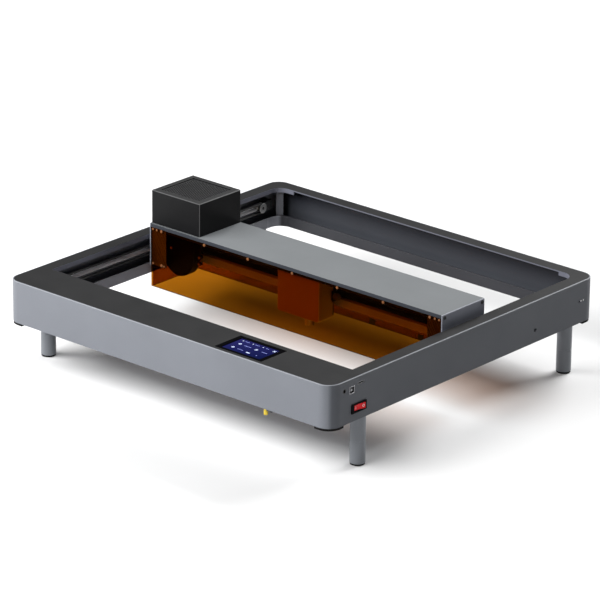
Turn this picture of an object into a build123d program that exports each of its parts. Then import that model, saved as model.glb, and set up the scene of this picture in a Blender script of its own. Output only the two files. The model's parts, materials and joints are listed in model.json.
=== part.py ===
"""Desktop laser cutter: a low open frame on four legs, with a covered gantry that carries the laser.

Millimetres. +X is to the right, +Y to the back, +Z up. The origin is on the surface that the
machine stands on, under the middle of the frame. The gantry and the laser stand at their rest places.
"""
from build123d import *
import math
import os

# Frame
FRAME_W = 640.0
FRAME_D = 611.0
FRAME_H = 66.2
LEG_H = 75.5
SHEET = 2.0
CORNER_R = 21.6
TOP_EDGE = 0.8
FRONT_RAIL = 73.6
TOP_RAIL = 22.9
SIDE_FOOT = 19.5
REAR_FOOT = 17.5
TOP_LIP = 7.5
FLOOR_LIP = 17.5
TOP_OPENING_R = 20.0
FLOOR_OPENING_R = 22.0
POST_W = 11.0
POST_D = 14.0
POST_GAP = 2.3

# Legs
LEG_R = 11.5
LEG_INSET = 12.0
LEG_FRONT_SETBACK = 75.0
LEG_REAR_SETBACK = 58.0
LEG_SEAM = 38.0
FOOT_PAD_H = 3.0

# Gantry, at rest
GANTRY_HALF = 291.0
GANTRY_FRONT = -24.3
GANTRY_REAR = 73.2
COVER_RISE = 20.8
COVER_LIP = 5.5
END_PLATE_H = 68.5
SHIELD = 2.0
SHIELD_DROP = 16.0
REAR_SHIELD_DROP = 8.0
REAR_SHIELD_Y = 66.0
END_FLANGE_W = 29.0
END_EDGE = 0.5
FLANGE = 1.5
SCREW_PITCH = 89.0

# Belt drives: twenty-tooth pulleys with a 2 mm pitch, and 6 mm belts
PULLEY_R = 6.1
FLANGE_R = 8.0
PULLEY_W = 7.6
PULLEY_FLANGE = 0.5
BELT_IN = 6.45
BELT_T = 1.4
BELT_W = 6.0
RUNNING = 0.05
GAP = 0.35

# Y drive
ROD_R = 5.0
ROD_X = 311.0
ROD_Z = LEG_H + 36.5
Y_BELT_X = 299.6
Y_BELT_Z = LEG_H + 39.5
Y_PULLEY_Y = -244.0
Y_IDLER_Y = 244.0
SYNC_R = 4.0
AXLE_R = 2.5
DRIVE_X = -26.2
MOTOR_SIDE = 42.0
Y_MOTOR_Y = -279.0

# X drive
BEAM_Y = (36.0, 56.0)
BEAM_Z = (98.0, 158.0)
BEAM_LEFT = -244.0
BEAM_WALL = 3.0
RAIL_Z = (99.5, 111.5)
RAIL_H = 8.0
X_BELT_Y = 31.0
X_BELT_Z = 132.0
X_MOTOR_X = -266.0
X_IDLER_X = 274.0

# Laser head
HEAD_X = 5.5
HEAD_W = 83.0
HEAD_FRONT = -16.0
HEAD_REAR = 18.6
HEAD_Z = (83.5, 158.0)
HEAD_WALL = 2.0
NOZZLE_X = 7.0
NOZZLE_Y = 5.0
NOZZLE_R = 6.0
PIN_X = 18.5
PIN_Z = 79.8
KNOB_Y = 16.0
KNOB_Z = 119.5
KNOB_R = 5.0
INTAKE_R = 13.0

# Exhaust
FAN_BOX_X = (-290.5, -190.5)
FAN_BOX_Y = (-20.5, 73.2)
FAN_BOX_H = 53.3
FAN_BOX_EDGE = 1.8
GRILLE_INSET = 10.5
GRILLE_PITCH = 3.6
BLOWER_X = -244.0
BLOWER_Z = 114.5
BLOWER_R = 30.5
BLOWER_Y = (-10.0, 6.0)
BLOWER_WALL = 2.0
LUGS = (7.0, -11.0)
LUG_OUT = 3.0
LUG_R = 3.3
FACE_SCREW = (139.0, 18.0)
IMPELLER_R = 24.0
BLADES = 24

# Controls
SCREEN_X = (93.0, 183.0)
SCREEN_Y = (-298.0, -241.5)
SCREEN_BORDER_X = 8.0
SCREEN_BORDER_Y = 5.5
SWITCH_Y = -243.9
SWITCH_Z = LEG_H + 19.4
SWITCH_BEZEL = (32.0, 14.0)
SWITCH_HALF = 15.0
ROCKER = (23.0, 8.8)
ROCKER_Y = SWITCH_Y + 1.5
ROCKER_AXIS_X = 316.5
JACK_Y = -275.2
JACK_Z = LEG_H + 51.6
JACK_R = 3.6
JACK_BORE_R = 2.4
USB_Y = (-264.2, -253.3)
USB_Z = (LEG_H + 43.4, LEG_H + 54.6)
CARD_Y = (-246.5, -231.5)
CARD_Z = (LEG_H + 53.5, LEG_H + 57.0)
CONNECTOR_X = 194.0
CONNECTOR_Y = -299.0
CONNECTOR_R = 3.2

# Derived places
TOP_Z = LEG_H + FRAME_H
PANEL_Z = TOP_Z - SHEET
FLOOR_Z = LEG_H + SHEET
HALF_W = FRAME_W / 2
HALF_D = FRAME_D / 2
OPEN_FRONT = -HALF_D + FRONT_RAIL
COVER_Z = TOP_Z + COVER_RISE
COVER_UNDER = COVER_Z - SHEET
LIP = 1.2
SHIELD_FRONT = GANTRY_FRONT + LIP
FLANGE_FRONT = SHIELD_FRONT + SHIELD
GANTRY_MID = (GANTRY_FRONT + GANTRY_REAR) / 2
WEB_X = GANTRY_HALF - SHEET
END_LOW = COVER_Z - END_PLATE_H
SPLIT_Y = HALF_D - 45.0
DUCT_X = (BLOWER_X - BLOWER_R + BLOWER_WALL, BLOWER_X - 9)
DUCT = (DUCT_X, (BLOWER_Y[0] + BLOWER_WALL, BLOWER_Y[1] - BLOWER_WALL))
EAR_X = (HEAD_X + HEAD_W / 2 + 0.6, HEAD_X + HEAD_W / 2 + 3.2)


def block(x, y, z):
    """A box from its lowest and highest x, y and z."""
    size = [hi - lo for lo, hi in (x, y, z)]
    return Pos(*[(lo + hi) / 2 for lo, hi in (x, y, z)]) * Box(*size)


def rod(axis, start, end, u, v, r):
    """A cylinder along an axis, from start to end, centred on the other two coordinates in order."""
    turn = {"x": Rot(0, 90, 0), "y": Rot(-90, 0, 0), "z": Rot(0, 0, 0)}[axis]
    mid = (start + end) / 2
    place = {"x": (mid, u, v), "y": (u, mid, v), "z": (u, v, mid)}[axis]
    return Pos(*place) * turn * Cylinder(r, end - start)


def mirrored(shape):
    """The same shape on the other side of the machine."""
    return shape.mirror(Plane.YZ)


def group(solids):
    """Separate solids in one node."""
    return Compound(children=[solid for shape in solids for solid in shape.solids()])


def save(name, shape):
    export_step(shape, f"parts/{name}.step")


def plan(width, depth, radius, low, high):
    """An upright prism with a rounded rectangular plan, centred on the origin."""
    return extrude(Pos(0, 0, low) * RectangleRounded(width, depth, radius), amount=high - low)


def opening(side, rear, radius, low, high):
    """The through opening of the frame, square in front and rounded at the two rear corners."""
    width = FRAME_W - 2 * side
    front, back = OPEN_FRONT, HALF_D - rear
    outline = Pos(0, (front + back) / 2, low) * Rectangle(width, back - front)
    outline = fillet(outline.vertices().sort_by(Axis.Y)[-2:], radius)
    return extrude(outline, amount=high - low)


def pulley(axis, centre, u, v, bore):
    """A flanged pulley with a plain rim, bored for its shaft."""
    low, high = centre - PULLEY_W / 2, centre + PULLEY_W / 2
    wheel = rod(axis, low, high, u, v, PULLEY_R)
    wheel += rod(axis, low, low + PULLEY_FLANGE, u, v, FLANGE_R)
    wheel += rod(axis, high - PULLEY_FLANGE, high, u, v, FLANGE_R)
    return wheel - rod(axis, low - 1, high + 1, u, v, bore)


def belt(plane, length):
    """A closed belt round two equal pulleys, length apart, in the plane given at its middle."""
    outer = SlotCenterToCenter(length, 2 * (BELT_IN + BELT_T))
    inner = SlotCenterToCenter(length, 2 * BELT_IN)
    return extrude(plane * (outer - inner), amount=BELT_W / 2, both=True)


# ---------------------------------------------------------------- frame

def port_cutouts():
    """The openings in the right face: switch, jack, data ports and the small plain holes."""
    wall = (HALF_W - SHEET - 1, HALF_W + 1)
    cuts = block(wall, (SWITCH_Y - SWITCH_HALF, SWITCH_Y + SWITCH_HALF), (SWITCH_Z - 6, SWITCH_Z + 6))
    cuts += rod("x", *wall, JACK_Y, JACK_Z, JACK_R)
    cuts += block(wall, USB_Y, USB_Z)
    cuts += block(wall, CARD_Y, CARD_Z)
    cuts += rod("x", *wall, 159.4, LEG_H + 20, 3.1)
    for y in (265.1, 270.1, 275.7):
        cuts += rod("x", *wall, y, LEG_H + 35.1, 1.8)
    return cuts


def outer_band():
    outer = plan(FRAME_W, FRAME_D, CORNER_R, LEG_H, TOP_Z)
    outer = chamfer(outer.edges().group_by(Axis.Z)[-1], TOP_EDGE)
    inner = plan(FRAME_W - 2 * SHEET, FRAME_D - 2 * SHEET, CORNER_R - SHEET, LEG_H - 1, TOP_Z + 1)
    return outer - inner - port_cutouts()


def inner_plan(low, high):
    """Everything inside the outer band."""
    return plan(FRAME_W - 2 * SHEET, FRAME_D - 2 * SHEET, CORNER_R - SHEET, low, high)


def top_panel():
    lip_z = TOP_Z - TOP_LIP
    panel = inner_plan(PANEL_Z, TOP_Z)
    lip = opening(TOP_RAIL - SHEET, TOP_RAIL - SHEET, TOP_OPENING_R + SHEET, lip_z, PANEL_Z)
    lip -= block((-HALF_W, HALF_W), (-HALF_D, OPEN_FRONT + 2), (lip_z - 1, TOP_Z))
    lip -= block((-266, 266), (HALF_D - TOP_RAIL - 3, HALF_D), (lip_z - 1, PANEL_Z + 1))
    panel += lip
    panel -= opening(TOP_RAIL, TOP_RAIL, TOP_OPENING_R, lip_z - 1, TOP_Z + 1)
    return panel - block(SCREEN_X, SCREEN_Y, (PANEL_Z - 1, TOP_Z + 1))


def floor_rail(part):
    """The C-shaped foot of a side or of the rear: a bottom flange with a tall inner lip."""
    flange = inner_plan(LEG_H, FLOOR_Z)
    flange -= opening(SIDE_FOOT, REAR_FOOT, FLOOR_OPENING_R, LEG_H - 1, FLOOR_Z + 1)
    lip = opening(SIDE_FOOT - SHEET, REAR_FOOT - SHEET, FLOOR_OPENING_R + SHEET, FLOOR_Z, LEG_H + FLOOR_LIP)
    lip -= opening(SIDE_FOOT, REAR_FOOT, FLOOR_OPENING_R, LEG_H, TOP_Z)
    return (flange + lip) & part


def side_floor_rail(side):
    x = sorted((side * (HALF_W - 45), side * HALF_W))
    return floor_rail(block(x, (OPEN_FRONT, SPLIT_Y), (LEG_H, TOP_Z)))


def rear_floor_rail():
    return floor_rail(block((-HALF_W, HALF_W), (SPLIT_Y, HALF_D), (LEG_H, TOP_Z)))


def corner_post():
    """The narrow channel that closes the rear left inner corner, set across its diagonal."""
    centre_x = -HALF_W + SIDE_FOOT + FLOOR_OPENING_R
    centre_y = HALF_D - REAR_FOOT - FLOOR_OPENING_R
    z = (FLOOR_Z, PANEL_Z)
    reach = FLOOR_OPENING_R + POST_GAP
    channel = block((reach, reach + POST_D), (-POST_W / 2, POST_W / 2), z)
    inner_y = (-POST_W / 2 + SHEET, POST_W / 2 - SHEET)
    channel -= block((reach + SHEET, reach + POST_D + 1), inner_y, (z[0] - 1, z[1] + 1))
    return Pos(centre_x, centre_y, 0) * Rot(0, 0, 135) * channel


def front_inner_wall():
    return block((-294, 294), (OPEN_FRONT - SHEET, OPEN_FRONT), (FLOOR_Z, PANEL_Z))


def front_floor():
    """The bottom plate of the front housing, with the saddle that the motor is screwed to."""
    plate = inner_plan(LEG_H, FLOOR_Z) & block((-HALF_W, HALF_W), (-HALF_D, OPEN_FRONT), (LEG_H, FLOOR_Z))
    half = MOTOR_SIDE / 2
    saddle_y = (Y_MOTOR_Y - half, Y_MOTOR_Y + half)
    motor_foot = Y_BELT_Z - half
    saddle = block((-72, -36), saddle_y, (FLOOR_Z, motor_foot))
    saddle -= block((-69, -39), (saddle_y[0] - 1, saddle_y[1] + 1), (FLOOR_Z, motor_foot - 2))
    return plate + saddle - rod("z", LEG_H - 1, FLOOR_Z + 1, CONNECTOR_X, CONNECTOR_Y, CONNECTOR_R)


def leg_places():
    x = HALF_W - LEG_INSET
    front, rear = -HALF_D + LEG_FRONT_SETBACK, HALF_D - LEG_REAR_SETBACK
    return [(sx * x, y) for sx in (-1, 1) for y in (front, rear)]


def leg_upper(x, y):
    """The top half of a leg, with the threaded socket for the lower half."""
    tube = rod("z", LEG_SEAM, LEG_H, x, y, LEG_R)
    return tube - rod("z", LEG_SEAM - 1, LEG_SEAM + 14, x, y, 4.0)


def leg_lower(x, y):
    """The bottom half of a leg and the stud on top of it."""
    body = rod("z", FOOT_PAD_H, LEG_SEAM, x, y, LEG_R)
    body = chamfer(body.edges().group_by(Axis.Z)[-1], 0.5)
    return body + rod("z", LEG_SEAM - 2, LEG_SEAM + 13, x, y, 4.0)


def foot_pad(x, y):
    pad = rod("z", 0, FOOT_PAD_H, x, y, LEG_R - 0.5)
    return chamfer(pad.edges().group_by(Axis.Z)[0], 0.6)


def corner_pad(sx, sy):
    """The thin pad under a rounded corner of the band."""
    reach = 30.0
    ring = plan(FRAME_W - 1, FRAME_D - 1, CORNER_R - 0.5, LEG_H - 3.6, LEG_H)
    ring -= plan(FRAME_W - 20, FRAME_D - 20, CORNER_R - 10, LEG_H - 5, LEG_H + 1)
    x = sorted((sx * (HALF_W - reach), sx * HALF_W))
    y = sorted((sy * (HALF_D - reach), sy * HALF_D))
    return ring & block(x, y, (LEG_H - 4, LEG_H))


# ---------------------------------------------------------------- Y drive

def y_rod():
    return rod("y", -262, 272, -ROD_X, ROD_Z, ROD_R)


def front_rod_bracket():
    """Holds the front end of a rod against the outer band."""
    body = block((-HALF_W + SHEET, -304.5), (-262, -250), (ROD_Z - 8, ROD_Z + 6.5))
    return body - rod("y", -263, -249, -ROD_X, ROD_Z, ROD_R)


def rear_rod_bracket():
    """Holds the rear end of a rod, and the axle of the belt's idler."""
    body = block((-HALF_W + SHEET, -303.7), (258, 272), (ROD_Z - 8, ROD_Z + 8))
    body += block((-305.2, -303.7), (Y_IDLER_Y - 4.5, 260), (Y_BELT_Z - 5, Y_BELT_Z + 5))
    body -= rod("y", 257, 273, -ROD_X, ROD_Z, ROD_R)
    return body + rod("x", -304.5, -Y_BELT_X + PULLEY_W / 2, Y_IDLER_Y, Y_BELT_Z, AXLE_R)


def y_belt():
    middle = (-Y_BELT_X, (Y_PULLEY_Y + Y_IDLER_Y) / 2, Y_BELT_Z)
    plane = Plane(origin=middle, x_dir=(0, 1, 0), z_dir=(1, 0, 0))
    return belt(plane, Y_IDLER_Y - Y_PULLEY_Y)


def y_idler():
    return pulley("x", -Y_BELT_X, Y_IDLER_Y, Y_BELT_Z, AXLE_R + RUNNING)


def sync_shaft():
    end = Y_BELT_X + PULLEY_W / 2
    return rod("x", -end, end, Y_PULLEY_Y, Y_BELT_Z, SYNC_R)


def sync_pulleys():
    return [pulley("x", x, Y_PULLEY_Y, Y_BELT_Z, SYNC_R) for x in (-Y_BELT_X, DRIVE_X, Y_BELT_X)]


def shaft_bearing():
    """A pedestal on the housing floor that the shaft turns in."""
    body = block((-293, -286), (Y_PULLEY_Y - 9, Y_PULLEY_Y + 9), (FLOOR_Z, Y_BELT_Z + 9))
    return body - rod("x", -294, -285, Y_PULLEY_Y, Y_BELT_Z, SYNC_R + RUNNING)


def y_motor():
    """A square stepper motor lying with its shaft along X."""
    half = MOTOR_SIDE / 2
    body = block((-72, -36), (Y_MOTOR_Y - half, Y_MOTOR_Y + half), (Y_BELT_Z - half, Y_BELT_Z + half))
    body = chamfer(body.edges().filter_by(Axis.X), 4)
    body += rod("x", -36, -33.5, Y_MOTOR_Y, Y_BELT_Z, 11)
    return body - rod("x", -52, -33, Y_MOTOR_Y, Y_BELT_Z, AXLE_R + RUNNING)


def y_motor_pulley():
    end = DRIVE_X + PULLEY_W / 2
    return pulley("x", DRIVE_X, Y_MOTOR_Y, Y_BELT_Z, 1) + rod("x", -51, end, Y_MOTOR_Y, Y_BELT_Z, AXLE_R)


def motor_belt():
    plane = Plane(origin=(DRIVE_X, (Y_PULLEY_Y + Y_MOTOR_Y) / 2, Y_BELT_Z), x_dir=(0, 1, 0), z_dir=(1, 0, 0))
    return belt(plane, Y_PULLEY_Y - Y_MOTOR_Y)


# ---------------------------------------------------------------- controls

def screen_window(margin=0.0):
    x = (SCREEN_X[0] + SCREEN_BORDER_X - margin, SCREEN_X[1] - SCREEN_BORDER_X + margin)
    y = (SCREEN_Y[0] + SCREEN_BORDER_Y - margin, SCREEN_Y[1] - SCREEN_BORDER_Y + margin)
    return x, y


def screen_bezel():
    frame = block(SCREEN_X, SCREEN_Y, (PANEL_Z, TOP_Z))
    return frame - block(*screen_window(), (PANEL_Z - 1, TOP_Z + 1))


def screen_glass():
    return block(*screen_window(), (TOP_Z - 1.2, TOP_Z - 0.2))


def display_module():
    low = PANEL_Z - 6
    return block(*screen_window(), (low, TOP_Z - 1.2)) + block(*screen_window(2), (low, PANEL_Z))


def controller_board():
    """The board lies under the display on four posts."""
    board = block((196, 284), (-298, -256), (FLOOR_Z + 8, FLOOR_Z + 9.6))
    for x in (200, 280):
        for y in (-294, -260):
            board += rod("z", FLOOR_Z, FLOOR_Z + 8, x, y, 3)
    board += block((214, 226), (-284, -272), (FLOOR_Z + 9.6, FLOOR_Z + 11.6))
    board += block((240, 256), (-290, -276), (FLOOR_Z + 9.6, FLOOR_Z + 19.6))
    return board


def switch_housing():
    """The power switch: a bezel on the right face and the body behind it."""
    long, tall = SWITCH_BEZEL
    high = (SWITCH_Z - 6, SWITCH_Z + 6)
    body = block((299, HALF_W), (SWITCH_Y - SWITCH_HALF, OPEN_FRONT - 0.5), high)
    body += block((303.5, HALF_W), (SWITCH_Y - SWITCH_HALF, SWITCH_Y + SWITCH_HALF), high)
    bezel_y = (SWITCH_Y - long / 2, SWITCH_Y + long / 2)
    body += block((HALF_W, HALF_W + 1.6), bezel_y, (SWITCH_Z - tall / 2, SWITCH_Z + tall / 2))
    half, high = ROCKER[0] / 2 + 1.0, ROCKER[1] / 2 + 0.5
    pocket_y = (ROCKER_Y - half, ROCKER_Y + half)
    return body - block((310.5, HALF_W + 2), pocket_y, (SWITCH_Z - high, SWITCH_Z + high))


def power_rocker():
    """The rocker's face is a shallow V about its pivot, and one end stands proud."""
    half, deep = ROCKER[0] / 2, 3.2
    face = HALF_W + 0.6
    profile = Polyline(
        (ROCKER_AXIS_X - deep, ROCKER_Y - 7), (ROCKER_AXIS_X, ROCKER_Y - half), (face - 0.9, ROCKER_Y - half),
        (face - 0.4, ROCKER_Y), (face + 2.2, ROCKER_Y + half - 0.9), (ROCKER_AXIS_X + 1.0, ROCKER_Y + half),
        (ROCKER_AXIS_X - deep, ROCKER_Y + 7), close=True)
    low = SWITCH_Z - ROCKER[1] / 2
    return extrude(Pos(0, 0, low) * make_face(profile), amount=ROCKER[1])


def power_jack():
    body = rod("x", 306, HALF_W, JACK_Y, JACK_Z, JACK_R)
    return body - rod("x", 310, HALF_W + 1, JACK_Y, JACK_Z, JACK_BORE_R)


def data_ports():
    """A square data socket and a card slot, one above and behind the other."""
    usb = block((307, HALF_W), USB_Y, USB_Z)
    y, z = [(pair[0] + 1.2, pair[1] - 1.2) for pair in (USB_Y, USB_Z)]
    usb -= block((309, HALF_W + 1), y, z)
    usb += block((309, HALF_W - 1), (y[0] + 2.4, y[1] - 2.4), (z[0] + 2.4, z[1] - 2.4))
    card = block((303, HALF_W - 0.4), CARD_Y, CARD_Z)
    card -= block((304, HALF_W), (CARD_Y[0] + 1, CARD_Y[1] - 1), (CARD_Z[0] + 0.8, CARD_Z[1] - 0.8))
    return [usb, card]


def antenna_connector():
    """A threaded brass stub under the front edge, on a black base."""
    stub = rod("z", LEG_H - 11, FLOOR_Z + 2, CONNECTOR_X, CONNECTOR_Y, CONNECTOR_R)
    return stub - rod("z", LEG_H - 12, LEG_H - 6, CONNECTOR_X, CONNECTOR_Y, 1.6)


# ---------------------------------------------------------------- gantry

def gantry_cover():
    x = (-WEB_X, WEB_X)
    cover = block(x, (GANTRY_FRONT, GANTRY_REAR), (COVER_UNDER, COVER_Z))
    lip_z = (COVER_Z - COVER_LIP, COVER_Z)
    cover += block(x, (GANTRY_FRONT, SHIELD_FRONT), lip_z)
    cover += block(x, (GANTRY_REAR - LIP, GANTRY_REAR), lip_z)
    edge = WEB_X - END_FLANGE_W
    cover += block((-edge, edge), (FLANGE_FRONT, FLANGE_FRONT + FLANGE), (COVER_UNDER - 9, COVER_Z))
    return cover - block(*DUCT, (COVER_UNDER - 1, COVER_Z + 1))


def gantry_end():
    """The left end plate, across the whole end of the gantry, with a flange behind each shield."""
    web = block((-GANTRY_HALF, -WEB_X), (GANTRY_FRONT, GANTRY_REAR), (END_LOW, COVER_Z))
    web = chamfer(web.edges().group_by(Axis.X)[0], END_EDGE)
    z = (END_LOW, COVER_UNDER)
    plate = web + block((-WEB_X, -WEB_X + END_FLANGE_W), (FLANGE_FRONT, FLANGE_FRONT + FLANGE), z)
    return plate + block((-WEB_X, -WEB_X + 14), (REAR_SHIELD_Y - FLANGE, REAR_SHIELD_Y), z)


def shield_front():
    return block((-WEB_X, WEB_X), (SHIELD_FRONT, FLANGE_FRONT), (LEG_H - SHIELD_DROP, COVER_UNDER))


def shield_rear():
    y = (REAR_SHIELD_Y, REAR_SHIELD_Y + SHIELD)
    return block((-WEB_X, WEB_X), y, (LEG_H - REAR_SHIELD_DROP, COVER_UNDER))


def shield_side():
    y = (FLANGE_FRONT + FLANGE, REAR_SHIELD_Y - FLANGE)
    panel = block((-WEB_X, -WEB_X + SHIELD), y, (LEG_H - SHIELD_DROP, END_LOW + 12))
    return panel - block((-GANTRY_HALF, -WEB_X + 3), (BEAM_Y[0] - 3, BEAM_Y[1] + 1), (BEAM_Z[0] - 1, COVER_Z))


def shield_screws():
    """Button heads along the top of the front shield, and three at each end, high and low."""
    high, low = COVER_Z - 8.7, END_LOW + 4
    along = [(i * SCREW_PITCH, high, 2.3) for i in range(-3, 4)]
    high_ends = [(side * x, high, 1.8) for side in (-1, 1) for x in (276.5, 284.5)]
    low_ends = [(side * x, low, r) for side in (-1, 1) for x, r in ((284.5, 1.8), (267, 2.3), (261.5, 1.4))]
    screws = []
    for x, z, r in along + high_ends + low_ends:
        head = rod("y", SHIELD_FRONT - 1.4, SHIELD_FRONT, x, z, r)
        screws.append(fillet(head.edges().group_by(Axis.Y)[0], 0.7))
    return screws


def y_carriage():
    """The left slide: a bearing block on the rod, and an arm below the belt to the end plate."""
    y = (GANTRY_MID - 15, GANTRY_MID + 15)
    body = block((-317.2, -304.8), y, (ROD_Z - 8, ROD_Z + 8))
    body += block((-317.2, -GANTRY_HALF), y, (ROD_Z - 15.5, ROD_Z - 8))
    body += block((-293, -GANTRY_HALF), y, (ROD_Z - 15.5, ROD_Z + 14))
    return body - rod("y", y[0] - 1, y[1] + 1, -ROD_X, ROD_Z, ROD_R + RUNNING)


def belt_clamp():
    """Two jaws over and under the lower run of the left belt."""
    y = (GANTRY_MID - 8, GANTRY_MID + 8)
    near, far = -Y_BELT_X + BELT_W / 2 + GAP, -Y_BELT_X - BELT_W / 2
    run_low, run_high = Y_BELT_Z - BELT_IN - BELT_T, Y_BELT_Z - BELT_IN
    body = block((far, -293), y, (ROD_Z - 8, run_high + 3.2))
    return body - block((far - 1, near), (y[0] - 1, y[1] + 1), (run_low - GAP, run_high + GAP))


def x_beam():
    """A hollow extrusion across the gantry, with the stud for the belt's idler."""
    beam = block((BEAM_LEFT, WEB_X), BEAM_Y, BEAM_Z)
    y, z = [(pair[0] + BEAM_WALL, pair[1] - BEAM_WALL) for pair in (BEAM_Y, BEAM_Z)]
    beam -= block((BEAM_LEFT - 1, WEB_X + 1), y, z)
    return beam + rod("y", X_BELT_Y - PULLEY_W / 2, BEAM_Y[0] + 1, X_IDLER_X, X_BELT_Z, AXLE_R)


def x_rail():
    """The linear rail on the front of the beam, waisted for the block's balls."""
    rail = block((BEAM_LEFT + 12, WEB_X - 3), (BEAM_Y[0] - RAIL_H, BEAM_Y[0]), RAIL_Z)
    for z in RAIL_Z:
        groove = (BEAM_Y[0] - 5.5, BEAM_Y[0] - 3.5)
        rail -= block((BEAM_LEFT, WEB_X), groove, (z - 0.8, z + 0.8))
    return rail


def x_motor_bracket():
    plate = block((-WEB_X, BEAM_LEFT + 8), (BEAM_Y[0] - 1.6, BEAM_Y[0]), BEAM_Z)
    return plate - rod("y", BEAM_Y[0] - 4, BEAM_Y[0] + 1, X_MOTOR_X, X_BELT_Z, 11.3)


def x_motor():
    half = MOTOR_SIDE / 2
    y = (BEAM_Y[0], BEAM_Y[0] + 26)
    body = block((X_MOTOR_X - half, X_MOTOR_X + half), y, (X_BELT_Z - half, X_BELT_Z + half))
    body = chamfer(body.edges().filter_by(Axis.Y), 4)
    body += rod("y", BEAM_Y[0] - 1.5, BEAM_Y[0], X_MOTOR_X, X_BELT_Z, 11)
    body -= rod("y", BEAM_Y[0] - 3, BEAM_Y[0] + 16, X_MOTOR_X, X_BELT_Z, AXLE_R + RUNNING)
    return body


def x_motor_pulley():
    start = X_BELT_Y - PULLEY_W / 2
    wheel = pulley("y", X_BELT_Y, X_MOTOR_X, X_BELT_Z, 1) - rod("y", 34, 36, X_MOTOR_X, X_BELT_Z, 20)
    return wheel + rod("y", start, BEAM_Y[0] + 15, X_MOTOR_X, X_BELT_Z, AXLE_R)


def x_idler():
    return pulley("y", X_BELT_Y, X_IDLER_X, X_BELT_Z, AXLE_R + RUNNING)


def x_belt():
    plane = Plane(origin=((X_MOTOR_X + X_IDLER_X) / 2, X_BELT_Y, X_BELT_Z), x_dir=(1, 0, 0), z_dir=(0, -1, 0))
    return belt(plane, X_IDLER_X - X_MOTOR_X)


# ---------------------------------------------------------------- laser head

def rail_block():
    body = block((HEAD_X - 22.7, HEAD_X + 22.7), (23, BEAM_Y[0] - 2.3), (RAIL_Z[0] - 7.5, RAIL_Z[1] + 7.5))
    return body - block(
        (HEAD_X - 30, HEAD_X + 30), (BEAM_Y[0] - RAIL_H - GAP, BEAM_Y[0]), (RAIL_Z[0] - GAP, RAIL_Z[1] + GAP))


def carriage_plate():
    """The plate between the rail block and the head, with the belt clamp and the focus lock's ear."""
    plate = block((HEAD_X - 35, HEAD_X + 35), (19, 23), (90, 152))
    run_low, run_high = X_BELT_Z - BELT_IN - BELT_T, X_BELT_Z - BELT_IN
    clamp_y = (X_BELT_Y - BELT_W / 2 - GAP, BEAM_Y[0])
    clamp = block((HEAD_X - 10, HEAD_X + 10), (23, X_BELT_Y + BELT_W / 2 + 0.6), (run_low - 4, run_high + 4))
    clamp -= block((HEAD_X - 11, HEAD_X + 11), clamp_y, (run_low - GAP, run_high + GAP))
    ear = block((HEAD_X + 35, EAR_X[1]), (19, 23), (KNOB_Z - 8, KNOB_Z + 8))
    ear += block(EAR_X, (12, 23), (KNOB_Z - 8, KNOB_Z + 8))
    return plate + clamp + ear - rod("x", EAR_X[0] - 1, EAR_X[1] + 1, KNOB_Y, KNOB_Z, 2.0 + RUNNING)


def focus_knob():
    """The thumb screw that locks the head at its height."""
    head = rod("x", EAR_X[1] + 0.4, EAR_X[1] + 8.8, KNOB_Y, KNOB_Z, KNOB_R)
    for i in range(12):
        turn = math.radians(30 * i)
        groove = (KNOB_Y + 5.4 * math.cos(turn), KNOB_Z + 5.4 * math.sin(turn))
        head -= rod("x", EAR_X[1], EAR_X[1] + 10, *groove, 0.8)
    return head + rod("x", EAR_X[0] - 0.2, EAR_X[1] + 1, KNOB_Y, KNOB_Z, 2.0)


def head_x(inset=0.0):
    return HEAD_X - HEAD_W / 2 + inset, HEAD_X + HEAD_W / 2 - inset


def laser_housing():
    """The head's cover, open at the back, with the fan's round intake on top and the pin's two ears."""
    body = block(head_x(), (HEAD_FRONT, HEAD_REAR - 3), HEAD_Z)
    body = fillet(body.edges().filter_by(Axis.Y), 4)
    front_edges = body.edges().group_by(Axis.Y)[0]
    body = fillet(front_edges, 2)
    z = (HEAD_Z[0] + HEAD_WALL, HEAD_Z[1] - HEAD_WALL)
    body -= block(head_x(HEAD_WALL), (HEAD_FRONT + HEAD_WALL, HEAD_REAR), z)
    body -= rod("z", HEAD_Z[1] - 4, HEAD_Z[1] + 1, HEAD_X, 0, INTAKE_R)
    body -= rod("z", HEAD_Z[0] - 1, HEAD_Z[0] + 4, NOZZLE_X, NOZZLE_Y, NOZZLE_R)
    for low, high in ((1.4, 3.2), (6.8, 8.6)):
        body += block((PIN_X - 2.6, PIN_X + 2.6), (low, high), (PIN_Z - 2.4, HEAD_Z[0]))
    return body + rod("y", 3.2, 6.8, PIN_X, PIN_Z, 1.0)


def head_heatsink():
    """The finned block that the diodes are clamped to; it closes the back of the head."""
    x = head_x(HEAD_WALL + 0.4)
    block_z = (HEAD_Z[0] + 12, HEAD_Z[1] - 22)
    sink = block(head_x(), (HEAD_REAR - 3, HEAD_REAR), (HEAD_Z[0] + 4, HEAD_Z[1] - 2))
    sink += block(x, (8, HEAD_REAR - 3), block_z)
    pitch = (x[1] - x[0] - 2) / 12
    for i in range(13):
        low = x[0] + i * pitch
        sink += block((low, low + 2), (-12, 8), block_z)
    return sink


def laser_fan():
    """A seven-bladed fan under the intake."""
    top = HEAD_Z[1] - 5
    hub = rod("z", top - 9, top, HEAD_X, 0, 5)
    blade = Pos(HEAD_X, 0, top - 4.5) * Rot(28, 0, 0) * Pos(8.2, 0, 0) * Box(8, 1.2, 9)
    for i in range(7):
        hub += Pos(HEAD_X, 0, 0) * Rot(0, 0, i * 360 / 7) * Pos(-HEAD_X, 0, 0) * blade
    return hub - rod("z", top - 10, top - 1.6, HEAD_X, 0, 1.5 + RUNNING)


def fan_cradle():
    """The cross bar and pin that the fan turns on."""
    top = HEAD_Z[1] - 5
    bar = block(head_x(HEAD_WALL), (-3, 3), (top - 13, top - 10))
    return bar + rod("z", top - 11, top - 2, HEAD_X, 0, 1.5)


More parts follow.
